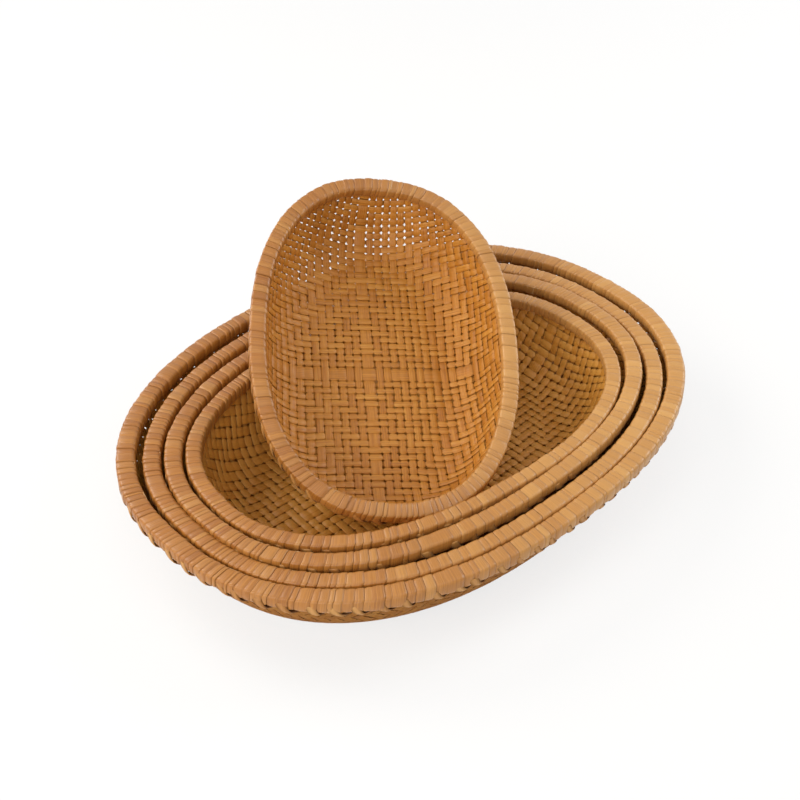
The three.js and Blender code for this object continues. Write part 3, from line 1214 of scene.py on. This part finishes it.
@dataclass(frozen=True)
class Camera:
    """The camera, as worked out from where the rims lie in the photograph."""

    azimuth: float = math.radians(-44.44)
    elevation: float = math.radians(38.81)
    distance: float = 0.835
    focal_share: float = 1254 / 800
    shift: Pair = (-0.0149, -0.0034)
    sensor: float = 36.0
    farthest: float = 20.0

    def axes(self) -> tuple[Vector, Vector, Vector]:
        """Finds the camera's axes.

        Returns:
            Unit vectors to its right, up and back.
        """
        sin_a, cos_a = math.sin(self.azimuth), math.cos(self.azimuth)
        sin_e, cos_e = math.sin(self.elevation), math.cos(self.elevation)
        back = Vector((sin_a * cos_e, -cos_a * cos_e, sin_e))
        right = Vector((cos_a, sin_a, 0.0))
        return right, back.cross(right), back

    def build(self, aim: Vector) -> None:
        """Adds the camera and makes it the scene's.

        Args:
            aim: The point at the middle of its view before the shift.
        """
        data = bpy.data.cameras.new("photo_camera")
        data.sensor_width = self.sensor
        data.lens = self.sensor * self.focal_share
        data.shift_x, data.shift_y = self.shift
        data.clip_end = self.farthest
        made = bpy.data.objects.new("photo_camera", data)
        right, up, back = self.axes()
        place = Matrix((right, up, back)).transposed().to_4x4()
        place.translation = aim + back * self.distance
        made.matrix_world = place
        bpy.context.scene.collection.objects.link(made)
        bpy.context.scene.camera = made


@dataclass(frozen=True)
class Studio:
    """A white table, soft lamps, an even sky and the camera."""

    camera: Camera = Camera()
    lamps: tuple[Lamp, ...] = (
        Lamp(LightKind.KEY, (-0.75, 0.65, 0.55), 1.0, 11.0, "#fffaf2"),
        Lamp(LightKind.SIDE, (-0.75, -0.45, 0.62), 1.0, 13.5, "#fffaf2"),
        Lamp(LightKind.FILL, (0.0, 1.0, 0.5), 1.2, 7.5),
        Lamp(LightKind.TOP, (0.0, 0.0, 1.0), 1.2, 5.0),
        Lamp(LightKind.FAR, (0.85, -0.45, 0.5), 1.0, 12.0),
    )
    table_half: float = 6.0
    table_colour: str = "#f4f3f1"
    shown_white: float = 0.75
    fade_start: float = 0.55
    fade_end: float = 1.3
    sky_strength: float = 0.15

    def seen(self, tree: NodeTree) -> Node:
        """Adds whether a ray comes from the camera, from a reflection or through something clear.

        Args:
            tree: The node tree that gets the nodes.

        Returns:
            The node that gives 1 for such a ray and 0 for any other.
        """
        rays = add_node(tree, "ShaderNodeLightPath").outputs
        direct = {0: rays["Is Camera Ray"], 1: rays["Is Glossy Ray"]}
        direct = add_node(tree, "ShaderNodeMath", direct, operation="MAXIMUM")
        either = {0: direct, 1: rays["Is Transmission Ray"]}
        return add_node(tree, "ShaderNodeMath", either, operation="MAXIMUM")

    def table_material(self) -> Material:
        """White laminate table: the white sky shows through it to the camera, and a soft shadow stays.

        The share of sky rises in a smooth curve with the distance from the set, until only sky is left.

        Returns:
            The material.
        """
        made = bpy.data.materials.new("white_laminate_table")
        tree = fresh_tree(made)
        place = add_node(tree, "ShaderNodeTexCoord").outputs["Object"]
        away = add_node(tree, "ShaderNodeVectorMath", {0: place}, operation="LENGTH")
        span = {"Value": away.outputs["Value"], "From Min": self.fade_start, "From Max": self.fade_end}
        span |= {"To Min": self.shown_white, "To Max": 1.0}
        fade = add_node(tree, "ShaderNodeMapRange", span, interpolation_type="SMOOTHSTEP")
        share = add_node(tree, "ShaderNodeMath", {0: self.seen(tree), 1: fade}, operation="MULTIPLY")
        white = add_node(tree, "ShaderNodeBsdfTransparent")
        table = add_node(tree, "ShaderNodeBsdfDiffuse", {"Color": linear_colour(self.table_colour)})
        mixed = add_node(tree, "ShaderNodeMixShader", {0: share, 1: table, 2: white})
        add_node(tree, "ShaderNodeOutputMaterial", {"Surface": mixed})
        return made

    def build_table(self) -> None:
        """Adds the table top as one flat sheet that the set stands on."""
        half = self.table_half
        mesh = bpy.data.meshes.new("table_top")
        corners = [(-half, -half, 0), (half, -half, 0), (half, half, 0), (-half, half, 0)]
        mesh.from_pydata(corners, [], [(0, 1, 2, 3)])
        mesh.materials.append(self.table_material())
        made = bpy.data.objects.new("table_top", mesh)
        bpy.context.scene.collection.objects.link(made)

    def build_sky(self) -> None:
        """Adds an even white sky, plain white to the camera and in reflections."""
        world = bpy.data.worlds.new("studio_sky")
        tree = fresh_tree(world)
        span = {"Value": self.seen(tree), "To Min": self.sky_strength, "To Max": 1.0}
        strength = add_node(tree, "ShaderNodeMapRange", span)
        looks = {"Color": (1.0, 1.0, 1.0, 1.0), "Strength": strength}
        sky = add_node(tree, "ShaderNodeBackground", looks)
        add_node(tree, "ShaderNodeOutputWorld", {"Surface": sky})
        bpy.context.scene.world = world

    def build(self, aim: Vector) -> None:
        """Sets up everything round the object.

        Args:
            aim: The middle of the largest rim.
        """
        bpy.context.scene.view_settings.view_transform = "Standard"
        self.camera.build(aim)
        self.build_table()
        self.build_sky()
        right, _, back = self.camera.axes()
        axes = (right, Vector((back.x, back.y, 0)).normalized(), Vector((0, 0, 1)))
        for lamp in self.lamps:
            lamp.build(aim, axes)


def basket_set() -> Sequence[Basket]:
    """Lists the five baskets.

    Returns:
        The baskets, from the outermost to the one that leans on top.
    """
    largest = BowlShape(400 * MM, 305 * MM, 49 * MM, 11.5 * MM, 8.6 * MM)
    # The small basket is woven of wider, paler strips, and its mat lies turned and bent.
    small_mat = Mat(
        long_pitch=6.4 * MM,
        cross_pitch=6.1 * MM,
        long_middle=10 * MM,
        turn=math.radians(4),
        shift=(0.0, 2.3 * MM),
        bend=math.radians(2.5),
        dip=0.8 * MM,
        waist=1.05 * MM,
        tight_gap=(0.35 * MM, 0.75 * MM),
        wide_gap=(0.9 * MM, 1.4 * MM),
        loose_spot=(125 * MM, 0.0),
        looseness=0.3 * MM,
        tones=(1.8, 3.2),
    )
    smallest_mat = Mat(
        cross_pitch=5.15 * MM,
        turn=math.radians(3.1),
        shift=(-1.4 * MM, 4.3 * MM),
        loose_spot=(-20 * MM, -45 * MM),
        looseness=0.5 * MM,
        wall_lift=0.4 * MM,
    )
    return (
        Basket("largest", largest, Mat(), seed=11),
        Basket("large", largest.smaller(0.914, 0.8885, 0.965, (0.92, 0.977)), Mat(), -1.4, seed=22),
        Basket("medium", largest.smaller(0.8525, 0.7785, 0.9735, (0.922, 0.95)), Mat(), -2.4, seed=33),
        Basket("small", largest.smaller(0.7688, 0.6775, 0.941, (0.844, 0.93)), small_mat, -5.7, seed=44),
        Basket(
            "smallest",
            largest.smaller(0.67, 0.5836, 0.9225, (0.904, 0.965)),
            smallest_mat,
            heading=47.7,
            rise=19.8,
            side_tip=9.3,
            seed=55,
            rim_powers=(6.5, 3.6),
            rope_at=0.555,
            splice_at=0.4475,
        ),
    )


def main() -> None:
    """Builds the set and the studio, and reports each piece."""
    logging.basicConfig(level=logging.INFO, format="%(name)s: %(message)s")
    # The cross strips are painted a little lighter than the long strips: painted sheen that stands in for how
    # the sheen changes with a strip's direction. The last colour of each is the painted shade.
    long_strip = WovenStripFinish("split_bamboo_long_strip", "#cb8e3a", "#b87626", "#965a19", "#331805")
    cross_strip = WovenStripFinish("split_bamboo_cross_strip", "#d09541", "#be7d2c", "#9c5f1d", "#331805")
    finishes = {
        StripRun.LONG.value: long_strip.material(),
        StripRun.CROSS.value: cross_strip.material(),
        "rim": BindingFinish().material(),
        "hoop": HoopFinish().material(),
    }
    baskets = basket_set()
    for basket in baskets:
        for piece in basket.build(finishes):
            LOG.info("%s rides on %s with %d faces", piece.name, basket.body(), len(piece.data.polygons))
    Studio().build(baskets[0].pose().translation)


if __name__ == "__main__":
    main()
